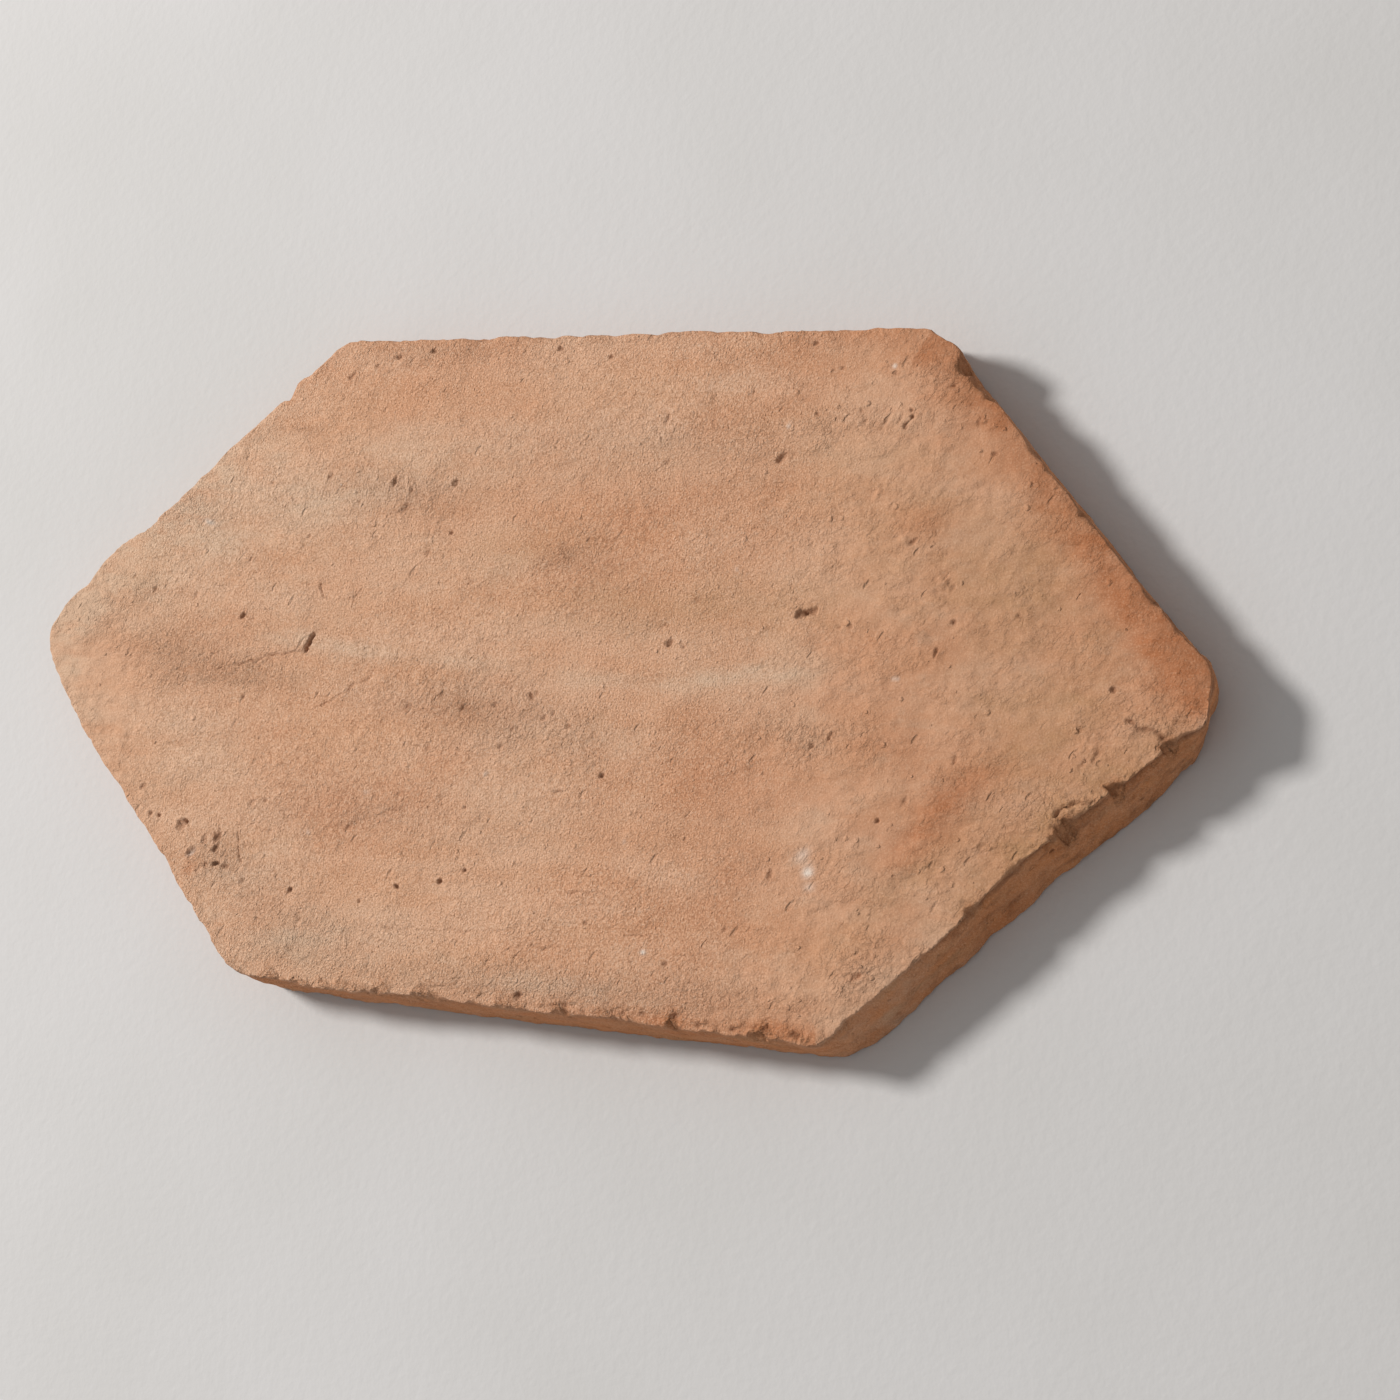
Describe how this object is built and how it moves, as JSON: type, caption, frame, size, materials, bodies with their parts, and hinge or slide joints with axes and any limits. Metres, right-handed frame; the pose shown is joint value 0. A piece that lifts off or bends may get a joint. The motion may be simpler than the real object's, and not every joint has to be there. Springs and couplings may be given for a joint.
{
  "type": "terracotta tile",
  "caption": "Hand-made terracotta floor or wall tile: a long hexagon with a right-angled point at each end, flat bed, worn face and chipped edges.",
  "frame": {"origin": "on the flat bed, under the middle of the tile's outline", "axes": "+X along the length towards the sharper of the two points, +Y across the width, +Z out of the worn face"},
  "size_m": [0.3928, 0.201, 0.019],
  "materials": {
    "terracotta": "unglazed, sandy matt"
  },
  "bodies": {
    "root": {"tile": "terracotta"}
  },
  "joints": []
}
